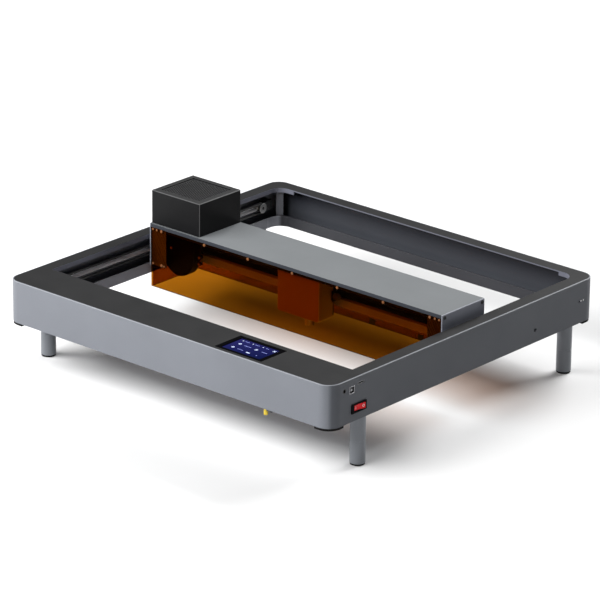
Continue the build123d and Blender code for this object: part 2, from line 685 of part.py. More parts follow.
def nozzle():
    """The focusing lens barrel: a collar inside the head and a narrower tip below it."""
    low = HEAD_Z[0] - 18.5
    tip = rod("z", low, HEAD_Z[0] + 8, NOZZLE_X, NOZZLE_Y, 4.4)
    tip = chamfer(tip.edges().group_by(Axis.Z)[0], 1.2)
    tip += rod("z", HEAD_Z[0] - 4, HEAD_Z[0] + 12, NOZZLE_X, NOZZLE_Y, NOZZLE_R)
    tip -= rod("z", low - 1, HEAD_Z[0] + 13, NOZZLE_X, NOZZLE_Y, 1.8)
    return tip - rod("z", HEAD_Z[0] + 2, HEAD_Z[0] + 13, NOZZLE_X, NOZZLE_Y, 4.0)


def lens():
    return rod("z", HEAD_Z[0] + 2, HEAD_Z[0] + 4.5, NOZZLE_X, NOZZLE_Y, 4.0)


def focus_pin():
    """The fold-down feeler that sets the focus height."""
    pin = rod("z", PIN_Z - 12.6, PIN_Z, PIN_X, 5, 1.6)
    pin = fillet(pin.edges().group_by(Axis.Z)[0], 1.0)
    pin += rod("y", 3.5, 6.5, PIN_X, PIN_Z, 2.3)
    return pin - rod("y", 3, 7, PIN_X, PIN_Z, 1.0 + RUNNING)


# ---------------------------------------------------------------- exhaust

def blower_housing():
    """A scroll fan standing on edge: round below, square above, with an outlet up to the filter box."""
    x = (BLOWER_X - BLOWER_R, BLOWER_X + BLOWER_R)
    body = rod("y", *BLOWER_Y, BLOWER_X, BLOWER_Z, BLOWER_R)
    body += block(x, BLOWER_Y, (BLOWER_Z, COVER_UNDER))
    for turn in LUGS:
        body += rod("y", BLOWER_Y[1] - 4, BLOWER_Y[1], *on_blower(turn, BLOWER_R + LUG_OUT), LUG_R)
    wall = BLOWER_WALL
    inside_y = (BLOWER_Y[0] + wall, BLOWER_Y[1] - wall)
    body -= rod("y", *inside_y, BLOWER_X, BLOWER_Z, BLOWER_R - wall)
    body -= block(DUCT_X, inside_y, (BLOWER_Z, COVER_UNDER + 1))
    body -= block((DUCT_X[1] + wall, x[1] - wall), (inside_y[0], BLOWER_Y[1] + 1), (148, COVER_UNDER - wall))
    body -= rod("y", BLOWER_Y[1] - 3, BLOWER_Y[1] + 1, BLOWER_X, BLOWER_Z, 17)
    return body + rod("y", BLOWER_Y[0] + wall, BLOWER_Y[0] + 9, BLOWER_X, BLOWER_Z, AXLE_R)


def on_blower(degrees, radius):
    turn = math.radians(degrees)
    return BLOWER_X + radius * math.cos(turn), BLOWER_Z + radius * math.sin(turn)


def blower_screws():
    """Two heads on the lugs and one on the front face."""
    heads = [rod("y", BLOWER_Y[1] - 6, BLOWER_Y[1] - 4, *on_blower(turn, BLOWER_R + LUG_OUT), 2.4) for turn in LUGS]
    heads.append(rod("y", BLOWER_Y[0] - 2, BLOWER_Y[0], *on_blower(*FACE_SCREW), 2.4))
    return [fillet(head.edges().group_by(Axis.Y)[0], 0.8) for head in heads]


def blower_impeller():
    """A drum of forward-curved blades on a back plate, turning on the housing's pin."""
    back = BLOWER_Y[0] + 3
    wheel = rod("y", back, back + 1.4, BLOWER_X, BLOWER_Z, IMPELLER_R)
    wheel += rod("y", back, back + 7.4, BLOWER_X, BLOWER_Z, 9)
    blade = Pos(IMPELLER_R - 3, 0, 0) * Rot(0, 20, 0) * Box(6, 8, 1)
    for i in range(BLADES):
        wheel += Pos(BLOWER_X, back + 4.8, BLOWER_Z) * Rot(0, i * 360 / BLADES, 0) * blade
    ring = rod("y", back + 8.2, back + 9.6, BLOWER_X, BLOWER_Z, IMPELLER_R)
    wheel += ring - rod("y", back + 8, back + 10, BLOWER_X, BLOWER_Z, IMPELLER_R - 5.8)
    return wheel - rod("y", back - 1, back + 6.6, BLOWER_X, BLOWER_Z, AXLE_R + RUNNING)


def fan_box():
    """The filter box: a moulded shell, open below, with a rebated window for the grille on top."""
    top = COVER_Z + FAN_BOX_H
    box = block(FAN_BOX_X, FAN_BOX_Y, (COVER_Z, top))
    box = fillet(box.edges().filter_by(Axis.Z) + box.edges().group_by(Axis.Z)[-1], FAN_BOX_EDGE)
    x, y = inset(2.5)
    box -= block(x, y, (COVER_Z - 1, top - 6))
    return box - block(*inset(GRILLE_INSET), (top - 7, top + 1))


def inset(margin):
    """The fan box's plan, drawn in by a margin."""
    return [(pair[0] + margin, pair[1] - margin) for pair in (FAN_BOX_X, FAN_BOX_Y)]


def fan_grille():
    """The sunk top grille: a thin plate of slanting bars in its own rim."""
    top = COVER_Z + FAN_BOX_H - 1.6
    z = (top - 2, top)
    x, y = inset(GRILLE_INSET)
    plate = block(x, y, z)
    inner = block(*inset(GRILLE_INSET + 2), (top - 3, top + 1))
    centre = (sum(x) / 2, sum(y) / 2, top - 1)
    slots = Compound(children=[
        Pos(*centre) * Rot(0, 0, -29) * Pos(0, i * 2 * GRILLE_PITCH, 0) * Box(130, GRILLE_PITCH, 4)
        for i in range(-6, 7)])
    return plate - (slots & inner)


def filter_block():
    x, y = inset(3.0)
    top = COVER_Z + FAN_BOX_H - 6
    return block(x, y, (COVER_Z + 14, top))


def build():
    os.makedirs("parts", exist_ok=True)
    save("outer_band", outer_band())
    save("top_panel", top_panel())
    save("front_inner_wall", front_inner_wall())
    save("front_floor", front_floor())
    save("side_floor_rails", group([side_floor_rail(side) for side in (-1, 1)]))
    save("rear_floor_rail", rear_floor_rail())
    save("corner_posts", group([corner_post(), mirrored(corner_post())]))
    save("corner_pads", group([corner_pad(sx, sy) for sx in (-1, 1) for sy in (-1, 1)]))
    save("leg_uppers", group([leg_upper(x, y) for x, y in leg_places()]))
    save("leg_lowers", group([leg_lower(x, y) for x, y in leg_places()]))
    save("foot_pads", group([foot_pad(x, y) for x, y in leg_places()]))

    save("y_rods", group([y_rod(), mirrored(y_rod())]))
    brackets = [front_rod_bracket(), rear_rod_bracket()]
    save("rod_brackets", group(brackets + [mirrored(part) for part in brackets]))
    save("drive_belts", group([y_belt(), mirrored(y_belt()), motor_belt()]))
    save("y_idler_left", y_idler())
    save("y_idler_right", mirrored(y_idler()))
    save("sync_shaft", sync_shaft())
    save("sync_pulleys", group(sync_pulleys()))
    save("shaft_bearings", group([shaft_bearing(), mirrored(shaft_bearing())]))
    save("y_motor", y_motor())
    save("y_motor_pulley", y_motor_pulley())

    save("screen_bezel", screen_bezel())
    save("screen_glass", screen_glass())
    save("display_module", display_module())
    save("controller_board", controller_board())
    save("switch_housing", switch_housing())
    save("power_rocker", power_rocker())
    save("power_jack", power_jack())
    save("data_ports", group(data_ports()))
    save("antenna_connector", antenna_connector())

    save("gantry_cover", gantry_cover())
    save("gantry_ends", group([gantry_end(), mirrored(gantry_end())]))
    save("shield_front", shield_front())
    save("shield_rear", shield_rear())
    save("shield_sides", group([shield_side(), mirrored(shield_side())]))
    save("button_screws", group(shield_screws() + blower_screws()))
    save("y_carriages", group([y_carriage(), mirrored(y_carriage())]))
    save("belt_clamps", group([belt_clamp(), mirrored(belt_clamp())]))
    save("x_beam", x_beam())
    save("x_rail", x_rail())
    save("x_motor_bracket", x_motor_bracket())
    save("x_motor", x_motor())
    save("x_motor_pulley", x_motor_pulley())
    save("x_idler", x_idler())
    save("x_belt", x_belt())

    save("rail_block", rail_block())
    save("carriage_plate", carriage_plate())
    save("focus_knob", focus_knob())
    save("laser_housing", laser_housing())
    save("head_heatsink", head_heatsink())
    save("fan_cradle", fan_cradle())
    save("laser_fan", laser_fan())
    save("nozzle", nozzle())
    save("focus_lens", lens())
    save("focus_pin", focus_pin())

    save("blower_housing", blower_housing())
    save("blower_impeller", blower_impeller())
    save("fan_box", fan_box())
    save("fan_grille", fan_grille())
    save("filter_block", filter_block())


build()
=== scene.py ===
"""The looks of the desktop laser cutter: materials, fine pieces, studio light and camera.

Metres, in the frame's own axes: +X right, +Y back, +Z up, with the machine's feet on z = 0.
"""
import json
import math

import bmesh
import bpy
from mathutils import Matrix, Vector


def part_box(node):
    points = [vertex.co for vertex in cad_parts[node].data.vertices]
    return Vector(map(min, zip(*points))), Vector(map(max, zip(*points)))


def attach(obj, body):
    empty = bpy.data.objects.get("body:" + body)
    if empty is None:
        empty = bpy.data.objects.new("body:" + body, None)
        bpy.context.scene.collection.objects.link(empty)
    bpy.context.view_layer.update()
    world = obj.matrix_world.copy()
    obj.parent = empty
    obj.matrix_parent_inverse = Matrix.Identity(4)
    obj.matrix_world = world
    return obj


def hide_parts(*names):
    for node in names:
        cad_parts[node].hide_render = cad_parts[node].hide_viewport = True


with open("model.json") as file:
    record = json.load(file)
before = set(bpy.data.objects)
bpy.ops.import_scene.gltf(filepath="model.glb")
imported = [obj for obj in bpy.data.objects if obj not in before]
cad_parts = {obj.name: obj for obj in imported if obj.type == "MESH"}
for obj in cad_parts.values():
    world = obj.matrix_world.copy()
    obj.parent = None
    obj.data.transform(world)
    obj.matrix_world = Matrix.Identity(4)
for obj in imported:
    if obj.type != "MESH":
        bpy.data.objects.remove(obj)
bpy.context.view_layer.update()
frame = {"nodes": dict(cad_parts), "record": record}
NODES = frame["nodes"]
SLOTS = {entry["node"]: entry["material_slot"] for entry in frame["record"]["subparts"]}
MM = 0.001

# Camera: where it stands, how it is turned, and its sensor and lens in millimetres
AZIMUTH = math.radians(41.026)
ELEVATION = math.radians(20.935)
ROLL = math.radians(0.656)
CAMERA_PLACE = Vector((3.7712, -4.3392, 2.3038))
SENSOR = 36.0
LENS = 245.88

# Light and floor
WORLD_LIGHT = 0.07
FLOOR_WHITE = 0.65
FLOOR_REACH = 14.0

# Fine pieces: their sizes in metres
HOLE_PITCH = 4.15 * MM
HOLE_SHARE = 0.87
GRILLE_RIM = 2.0 * MM
INK_HEIGHT = 0.08 * MM
ROCKER_INK_HEIGHT = 0.06 * MM
ROCKER_INK_GAP = 0.01 * MM
DISC_SIDES = 20
RING_SIDES = 24
LATHE_SIDES = 32
# Fine pieces: their places in millimetres. A blower screw has its x, the face that it stands on, and its z
BLOWER_SCREWS = ((-257.6, "front", 126.3), (-210.7, "lug", 118.6), (-211.1, "lug", 108.1))
SIDE_PLUGS_Y = (270.1, 275.7)
SIDE_PLUGS_RISE = 35.1
SHIELD_CLIPS_X = (-231, -138, 26, 55, 152)
SHIELD_CLIPS_Z = (80.5, 83.5)
SHIELD_PADS_X = (84, 178)
SHIELD_PADS_Z = (68.5, 77.5)
FIXING_HALF = 5
CONNECTOR_BASE_Z = (71.5, 75.4)


# ---------------------------------------------------------------- materials

def new_material(name):
    material = bpy.data.materials.new(name)
    material.use_nodes = True
    tree = material.node_tree
    return material, tree, tree.nodes["Principled BSDF"]


def position(tree):
    """The point in the object's own space."""
    return tree.nodes.new("ShaderNodeTexCoord").outputs["Object"]


def normal(tree, kind="Normal"):
    """The direction that a face looks in."""
    return tree.nodes.new("ShaderNodeNewGeometry").outputs[kind]


def along(tree, vector, axis):
    """A vector's part along one axis."""
    node = tree.nodes.new("ShaderNodeSeparateXYZ")
    tree.links.new(vector, node.inputs["Vector"])
    return node.outputs[axis]


def noise(tree, size, detail=3.0, stretch=(1, 1, 1)):
    """A noise value over the object's own space; size is the length of its features in metres."""
    scale = tree.nodes.new("ShaderNodeMapping")
    scale.inputs["Scale"].default_value = stretch
    texture = tree.nodes.new("ShaderNodeTexNoise")
    texture.inputs["Scale"].default_value = 1 / size
    texture.inputs["Detail"].default_value = detail
    tree.links.new(position(tree), scale.inputs["Vector"])
    tree.links.new(scale.outputs["Vector"], texture.inputs["Vector"])
    return texture.outputs["Fac"]


def remap(tree, value, low, high, start=0.0, end=1.0):
    """Takes a value from start to end and gives one from low to high, clamped."""
    node = tree.nodes.new("ShaderNodeMapRange")
    for socket, number in (("From Min", start), ("From Max", end), ("To Min", low), ("To Max", high)):
        node.inputs[socket].default_value = number
    tree.links.new(value, node.inputs["Value"])
    return node.outputs["Result"]


def maths(tree, operation, *values):
    """One step of arithmetic; each value is a socket."""
    node = tree.nodes.new("ShaderNodeMath")
    node.operation = operation
    for socket, value in zip(node.inputs, values):
        tree.links.new(value, socket)
    return node.outputs["Value"]


def times(tree, a, b):
    return maths(tree, "MULTIPLY", a, b)


def dot(tree, a, b):
    node = tree.nodes.new("ShaderNodeVectorMath")
    node.operation = "DOT_PRODUCT"
    tree.links.new(a, node.inputs[0])
    tree.links.new(b, node.inputs[1])
    return node.outputs["Value"]


def mix_colour(tree, mask, first, second):
    """The first colour where the mask is zero, the second where it is one; each is a colour or a socket."""
    node = tree.nodes.new("ShaderNodeMix")
    node.data_type = "RGBA"
    tree.links.new(mask, node.inputs["Factor"])
    for name, colour in (("A", first), ("B", second)):
        if isinstance(colour, bpy.types.NodeSocket):
            tree.links.new(colour, node.inputs[name])
        else:
            node.inputs[name].default_value = (*colour, 1.0)
    return node.outputs["Result"]


def rounded_normal(tree, radius):
    """The face's direction, as if its edges were rounded."""
    node = tree.nodes.new("ShaderNodeBevel")
    node.samples = 4
    node.inputs["Radius"].default_value = radius
    return node.outputs["Normal"]


def edge_mask(tree, radius):
    """One where the rounded edge turns away from the face, and zero on the flat."""
    turn = dot(tree, rounded_normal(tree, radius), normal(tree, "True Normal"))
    return remap(tree, turn, 1.0, 0.0, 0.80, 0.98)


def facing(tree, axis):
    """How squarely a face looks either way along an axis, from zero to one."""
    return maths(tree, "ABSOLUTE", along(tree, normal(tree), axis))


def flat_mask(tree):
    """One on faces that look straight up or down."""
    return remap(tree, facing(tree, "Z"), 0.0, 1.0, 0.5, 0.7)


def rim_mask(tree):
    """One on the slanting face of a chamfered edge."""
    height = facing(tree, "Z")
    return times(tree, remap(tree, height, 0.0, 1.0, 0.30, 0.50), remap(tree, height, 1.0, 0.0, 0.85, 0.95))


def flank_mask(tree):
    """One on walls that face left or right."""
    return remap(tree, facing(tree, "X"), 0.0, 1.0, 0.6, 0.8)


def flank_edge_highlights(tree):
    """The edges of the walls that face left or right, where a bright line is painted as a highlight."""
    return times(tree, edge_mask(tree, 1.0 * MM), flank_mask(tree))


def painted_side_shading_mask(tree):
    """Zero on faces that look up, and one on all others: the sides that some finishes paint lighter or
    darker than their tops, as painted light and painted shade.
    """
    return remap(tree, along(tree, normal(tree, "True Normal"), "Z"), 1.0, 0.0, 0.4, 0.8)


def corner_mask(tree):
    """One where a rounded or chamfered edge faces between two of the axes, and zero on the flat faces."""
    square = tree.nodes.new("ShaderNodeVectorMath")
    square.operation = "MULTIPLY"
    face = normal(tree)
    tree.links.new(face, square.inputs[0])
    tree.links.new(face, square.inputs[1])
    length = tree.nodes.new("ShaderNodeVectorMath")
    length.operation = "LENGTH"
    tree.links.new(square.outputs["Vector"], length.inputs[0])
    return remap(tree, length.outputs["Value"], 1.0, 0.0, 0.74, 0.92)


def inside_mask(tree):
    """One on the faces that look towards the machine's middle, and zero on those that look outwards."""
    level = tree.nodes.new("ShaderNodeVectorMath")
    level.operation = "MULTIPLY"
    level.inputs[1].default_value = (1, 1, 0)
    tree.links.new(position(tree), level.inputs[0])
    outward = dot(tree, level.outputs["Vector"], normal(tree, "True Normal"))
    return remap(tree, outward, 1.0, 0.0, -0.002, 0.0)


def painted_shade_mask(tree):
    """Painted shade: high on inner walls that face front or back, lower near their foot, and about half on
    outer flanks.
    """
    inside = inside_mask(tree)
    flank = flank_mask(tree)
    rise = remap(tree, along(tree, position(tree), "Z"), 0.72, 1.0, 0.088, 0.122)
    inner = times(tree, times(tree, inside, rise), remap(tree, flank, 1.0, 0.0))
    outer = times(tree, remap(tree, inside, 1.0, 0.0), remap(tree, flank, 0.0, 0.55))
    return maths(tree, "ADD", inner, outer)


def surface(name, colour, rough, metal=0.0, specular=0.5, cloud=0.10, cloud_size=0.12, grain=0.05,
            grain_size=0.0006, grain_depth=0.00003, edge=0.0006, wear=0.25, stretch=(1, 1, 1),
            second=None, mask_of=None, worn_colour=None, worn_where=None):
    """A solid finish: slow colour and gloss drift, a fine grain, and rounded edges painted paler, partly as
    scuffing and partly as a painted highlight.

    second is the colour where the mask is one; in the finishes here it is painted shade on some and painted
    light on others. The mask of the paler edges, when one is given, marks where the edges are painted paler,
    as scuffing and as a painted highlight.
    The grain is longer along the axes where stretch is smaller."""
    material, tree, shader = new_material(name)
    shader.inputs["Metallic"].default_value = metal
    shader.inputs["Specular IOR Level"].default_value = specular

    drift = remap(tree, noise(tree, cloud_size), 1 - cloud, 1 + cloud, 0.3, 0.7)
    speck = remap(tree, noise(tree, grain_size, 1.0, stretch), 1 - grain, 1 + grain, 0.3, 0.7)
    shade = times(tree, drift, speck)
    tint = tree.nodes.new("ShaderNodeVectorMath")
    tint.operation = "SCALE"
    tint.inputs[0].default_value = colour
    if second:
        tree.links.new(mix_colour(tree, mask_of(tree), colour, second), tint.inputs[0])
    tree.links.new(shade, tint.inputs["Scale"])
    # Edges painted paler: partly scuffing, partly a painted highlight.
    mask = remap(tree, worn_where(tree) if worn_where else edge_mask(tree, edge), 0.0, wear)
    pale = worn_colour or [min(1.0, 2.2 * c + 0.05) for c in colour]
    worn = mix_colour(tree, mask, tint.outputs["Vector"], pale)
    tree.links.new(worn, shader.inputs["Base Color"])

    gloss = remap(tree, noise(tree, cloud_size * 0.4), rough * 0.88, min(1.0, rough * 1.12), 0.3, 0.7)
    tree.links.new(gloss, shader.inputs["Roughness"])

    bump = tree.nodes.new("ShaderNodeBump")
    bump.inputs["Strength"].default_value = 0.6
    bump.inputs["Distance"].default_value = grain_depth
    tree.links.new(noise(tree, grain_size, 2.0, stretch), bump.inputs["Height"])
    tree.links.new(rounded_normal(tree, edge), bump.inputs["Normal"])
    tree.links.new(bump.outputs["Normal"], shader.inputs["Normal"])
    return material


def clear_sheet(name, through, face, share, rough=0.05, dark_edge=False):
    """A clear tinted sheet: what is behind shows through it in its tint, under a glossy face.

    share is how much of the face's own colour shows. dark_edge makes the cut edges that face up or down
    opaque."""
    material, tree, shader = new_material(name)
    shader.inputs["Base Color"].default_value = (*face, 1.0)
    shader.inputs["Specular IOR Level"].default_value = 0.5
    shader.inputs["IOR"].default_value = 1.49
    smear = remap(tree, noise(tree, 0.05), rough * 0.7, rough * 1.5, 0.3, 0.7)
    tree.links.new(smear, shader.inputs["Roughness"])
    clear = tree.nodes.new("ShaderNodeBsdfTransparent")
    clear.inputs["Color"].default_value = (*through, 1.0)
    mix = tree.nodes.new("ShaderNodeMixShader")
    mix.inputs["Fac"].default_value = share
    tree.links.new(clear.outputs["BSDF"], mix.inputs[1])
    tree.links.new(shader.outputs["BSDF"], mix.inputs[2])
    result = mix
    if dark_edge:
        result = tree.nodes.new("ShaderNodeMixShader")
        tree.links.new(flat_mask(tree), result.inputs["Fac"])
        tree.links.new(mix.outputs["Shader"], result.inputs[1])
        tree.links.new(shader.outputs["BSDF"], result.inputs[2])
    tree.links.new(result.outputs["Shader"], tree.nodes["Material Output"].inputs["Surface"])
    return material


def lit(name, colour, strength):
    """A lit area of the display."""
    material, _, shader = new_material(name)
    shader.inputs["Base Color"].default_value = (*[0.5 * c for c in colour], 1.0)
    shader.inputs["Roughness"].default_value = 0.3
    shader.inputs["Emission Color"].default_value = (*colour, 1.0)
    shader.inputs["Emission Strength"].default_value = strength
    return material


def display_face():
    """The lit screen: deep blue, paler and more violet towards its left rear corner."""
    material, tree, shader = new_material("display_face")
    low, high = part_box("screen_glass")
    across = remap(tree, along(tree, position(tree), "X"), 1.0, 0.0, low.x, high.x)
    half_deep = remap(tree, along(tree, position(tree), "Y"), 0.0, 0.5, low.y, high.y)
    ramp = tree.nodes.new("ShaderNodeValToRGB")
    ramp.color_ramp.elements[0].color = (0.003, 0.008, 0.085, 1)
    ramp.color_ramp.elements[1].color = (0.050, 0.045, 0.260, 1)
    total = tree.nodes.new("ShaderNodeMath")
    total.operation = "MULTIPLY_ADD"
    tree.links.new(across, total.inputs[0])
    total.inputs[1].default_value = 0.5
    tree.links.new(half_deep, total.inputs[2])
    tree.links.new(total.outputs["Value"], ramp.inputs["Fac"])
    tree.links.new(ramp.outputs["Color"], shader.inputs["Emission Color"])
    shader.inputs["Base Color"].default_value = (0.002, 0.003, 0.012, 1)
    shader.inputs["Emission Strength"].default_value = 0.48
    shader.inputs["Specular IOR Level"].default_value = 0.0
    shader.inputs["Roughness"].default_value = 0.5
    return material


def finishes():
    """One material for each slot of the record."""
    brushed = (1, 12, 12)
    made = {}

    def solid(name, *look, **more):
        made[name] = surface(name, *look, **more)

    def clear(name, *look, **more):
        made[name] = clear_sheet(name, *look, **more)

    # Painted shade on the inner walls and on the outer faces that look left or right, and a painted
    # highlight along the top chamfer.
    solid("band_metal", (0.138, 0.146, 0.164), 0.45, 0.0, 0.22, edge=0.0006, cloud=0.05,
          worn_where=rim_mask, wear=0.3, worn_colour=(0.36, 0.37, 0.39), second=(0.015, 0.0165, 0.022),
          mask_of=painted_shade_mask)
    solid("leg_metal", (0.150, 0.160, 0.176), 0.40, 0.1, 0.4, edge=0.0005)
    # The edges are painted pale, as a painted highlight.
    solid("end_metal", (0.180, 0.190, 0.225), 0.50, 0.0, 0.25, edge=0.0010, wear=0.7,
          worn_colour=(0.45, 0.46, 0.48))
    # Painted light on the faces that look left or right, and a painted highlight on their edges.
    solid("rail_metal", (0.034, 0.035, 0.041), 0.42, 0.0, 0.3, edge=0.0010, wear=0.6,
          worn_colour=(0.80, 0.80, 0.82), worn_where=flank_edge_highlights, second=(0.200, 0.210, 0.240),
          mask_of=flank_mask)
    # The sides are painted lighter than the top, as painted light.
    solid("panel_metal", (0.0170, 0.0170, 0.0174), 0.48, 0.0, 0.08, edge=0.0006, cloud=0.06,
          second=(0.125, 0.130, 0.160), mask_of=painted_side_shading_mask)
    # The sides are painted darker than the top, as painted shade.
    solid("cover_metal", (0.130, 0.138, 0.143), 0.55, 0.0, 0.10, edge=0.0006, cloud=0.05,
          second=(0.032, 0.035, 0.042), mask_of=painted_side_shading_mask)
    clear("shield_acrylic", (0.545, 0.315, 0.058), (0.02, 0.005, 0.0), 0.012, dark_edge=True)
    solid("rubber", (0.006, 0.006, 0.006), 0.75, specular=0.1, wear=0.0, grain_depth=0.00006)
    solid("belt_rubber", (0.014, 0.014, 0.015), 0.65)
    solid("rod_steel", (0.62, 0.62, 0.64), 0.45, 0.2, stretch=brushed)
    solid("bracket_black", (0.016, 0.016, 0.017), 0.45)
    solid("motor_black", (0.018, 0.018, 0.019), 0.50)
    solid("beam_black", (0.006, 0.006, 0.006), 0.45, specular=0.15, stretch=(0.2, 8, 8))
    solid("bezel_plastic", (0.0025, 0.0025, 0.003), 0.35, specular=0.0, wear=0.0, grain_depth=0.00001)
    clear("screen_glass", (0.96, 0.97, 1.0), (0.01, 0.01, 0.01), 0.02, 0.04)
    made["display"] = display_face()
    solid("circuit_board", (0.01, 0.11, 0.04), 0.45)
    solid("switch_plastic", (0.003, 0.003, 0.0035), 0.50, specular=0.02, edge=0.0003, wear=0.0)
    solid("rocker_plastic", (0.68, 0.002, 0.008), 0.28, specular=0.2, edge=0.0008, wear=0.05)
    solid("socket_plastic", (0.010, 0.010, 0.010), 0.45)
    solid("socket_steel", (0.22, 0.22, 0.23), 0.30, 0.9)
    solid("brass", (0.58, 0.43, 0.04), 0.30, 0.4)
    solid("pulley_metal", (0.50, 0.50, 0.49), 0.30, 0.9)
    solid("screw_metal", (0.19, 0.07, 0.022), 0.45, 0.0, 0.2, edge=0.0003)
    # The sides are painted darker than the top, as painted shade, and the rounded corners paler, as a
    # painted highlight.
    solid("fan_box_plastic", (0.024, 0.024, 0.0245), 0.46, specular=0.12, edge=0.0006, grain_size=0.0009,
          grain_depth=0.00005, second=(0.0045, 0.0045, 0.005), mask_of=painted_side_shading_mask, worn_where=corner_mask,
          wear=0.7, worn_colour=(0.120, 0.120, 0.122))
    solid("grille_plastic", (0.034, 0.034, 0.035), 0.50, specular=0.2, edge=0.0002)
    solid("filter_media", (0.003, 0.003, 0.003), 0.9, grain_size=0.002, grain_depth=0.0004)
    solid("blower_plastic", (0.004, 0.004, 0.004), 0.42, specular=0.15, edge=0.0008)
    # The rounded corners are painted white, as a painted highlight.
    solid("head_metal", (0.62, 0.52, 0.40), 0.45, 0.0, 0.15, edge=0.0006, cloud=0.06,
          worn_where=corner_mask, wear=1.0, worn_colour=(1.0, 1.0, 1.0))
    solid("heatsink_metal", (0.05, 0.05, 0.052), 0.40, 0.4)
    solid("nozzle_metal", (0.85, 0.80, 0.74), 0.35, 0.1)
    clear("lens_glass", (0.92, 0.97, 1.0), (0.02, 0.02, 0.03), 0.10, 0.03)
    solid("pin_steel", (0.25, 0.25, 0.26), 0.30, 0.9)
    solid("knob_plastic", (0.25, 0.25, 0.26), 0.35, 0.7)
    return made


def dress_nodes(materials):
    """Gives every CAD node the finish of its slot."""
    for name, node in NODES.items():
        node.data.materials.clear()
        node.data.materials.append(materials[SLOTS[name]])


# ---------------------------------------------------------------- mesh helpers

def piece(name, mesh, body, material):
    """A finished object made from a bmesh, that moves with a body."""
    made = bpy.data.meshes.new(name)
    mesh.normal_update()
    mesh.to_mesh(made)
    mesh.free()
    made.materials.append(material)
    thing = bpy.data.objects.new(name, made)
    bpy.context.scene.collection.objects.link(thing)
    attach(thing, body)
    return thing


def thicken(mesh, faces, up):
    """Turns flat faces into closed solids by adding their other side at the given offset."""
    made = bmesh.ops.extrude_face_region(mesh, geom=faces)
    moved = [item for item in made["geom"] if isinstance(item, bmesh.types.BMVert)]
    bmesh.ops.translate(mesh, verts=moved, vec=up)
    bmesh.ops.recalc_face_normals(mesh, faces=mesh.faces)


def slab(mesh, low, high):
    """A box from its lowest to its highest corner."""
    size = [b - a for a, b in zip(low, high)]
    middle = [(a + b) / 2 for a, b in zip(low, high)]
    matrix = Matrix.Translation(middle) @ Matrix.Diagonal((*size, 1))
    bmesh.ops.create_cube(mesh, size=1.0, matrix=matrix)


def circle(sides):
    """The angles of a regular polygon's corners."""
    return [2 * math.pi * i / sides for i in range(sides)]


def band_between(mesh, outer, inner):
    """The flat faces between two rings with the same number of corners."""
    count = len(outer)
    return [mesh.faces.new((outer[i], outer[(i + 1) % count], inner[(i + 1) % count], inner[i]))
            for i in range(count)]


# ---------------------------------------------------------------- fine pieces

def grille_plate(materials):
    """The perforated top of the filter box: hexagonal holes in staggered rows, inside a plain rim."""
    low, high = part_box("fan_grille")
    inner_low = (low.x + GRILLE_RIM, low.y + GRILLE_RIM)
    inner_high = (high.x - GRILLE_RIM, high.y - GRILLE_RIM)
    mesh = bmesh.new()
    cell = HOLE_PITCH / math.sqrt(3)
    hole = cell * HOLE_SHARE
    column = HOLE_PITCH * math.sqrt(3) / 2
    columns = math.ceil((inner_high[0] - inner_low[0]) / column) + 1
    rows = math.ceil((inner_high[1] - inner_low[1]) / HOLE_PITCH) + 2
    turns = circle(6)
    for i in range(columns):
        for j in range(rows):
            x = inner_low[0] + i * column
            y = inner_low[1] + (j - 0.5 * (i % 2)) * HOLE_PITCH
            rings = [[mesh.verts.new((x + r * math.cos(t), y + r * math.sin(t), high.z)) for t in turns]
                     for r in (cell, hole)]
            band_between(mesh, *rings)
    for point, outward in (((inner_low[0], 0, 0), (-1, 0, 0)), ((inner_high[0], 0, 0), (1, 0, 0)),
                           ((0, inner_low[1], 0), (0, -1, 0)), ((0, inner_high[1], 0), (0, 1, 0))):
        geometry = mesh.verts[:] + mesh.edges[:] + mesh.faces[:]
        bmesh.ops.bisect_plane(mesh, geom=geometry, plane_co=point, plane_no=outward, clear_outer=True)
    bmesh.ops.remove_doubles(mesh, verts=mesh.verts[:], dist=0.02 * MM)
    thicken(mesh, mesh.faces[:], (0, 0, low.z - high.z))
    for x in ((low.x, inner_low[0]), (inner_high[0], high.x)):
        slab(mesh, (x[0], low.y, low.z), (x[1], high.y, high.z))
    for y in ((low.y, inner_low[1]), (inner_high[1], high.y)):
        slab(mesh, (inner_low[0], y[0], low.z), (inner_high[0], y[1], high.z))
    plate = piece("grille_plate", mesh, "gantry", materials["grille_plastic"])
    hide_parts("fan_grille")


def disc(mesh, x, y, z, radius, inner=0.0):
    """A thin disc or ring lying flat, with its underside at z."""
    turns = circle(DISC_SIDES)
    outer = [mesh.verts.new((x + radius * math.cos(t), y + radius * math.sin(t), z)) for t in turns]
    if inner <= 0:
        faces = [mesh.faces.new(outer)]
    else:
        ring = [mesh.verts.new((x + inner * math.cos(t), y + inner * math.sin(t), z)) for t in turns]
        faces = band_between(mesh, outer, ring)
    thicken(mesh, faces, (0, 0, INK_HEIGHT))


def bar(mesh, x, y, z, long, wide, turn=0.0):
    """A thin flat bar centred on x and y."""
    matrix = (Matrix.Translation((x, y, z + INK_HEIGHT / 2)) @ Matrix.Rotation(turn, 4, "Z")
              @ Matrix.Diagonal((long, wide, INK_HEIGHT, 1)))
    bmesh.ops.create_cube(mesh, size=1.0, matrix=matrix)


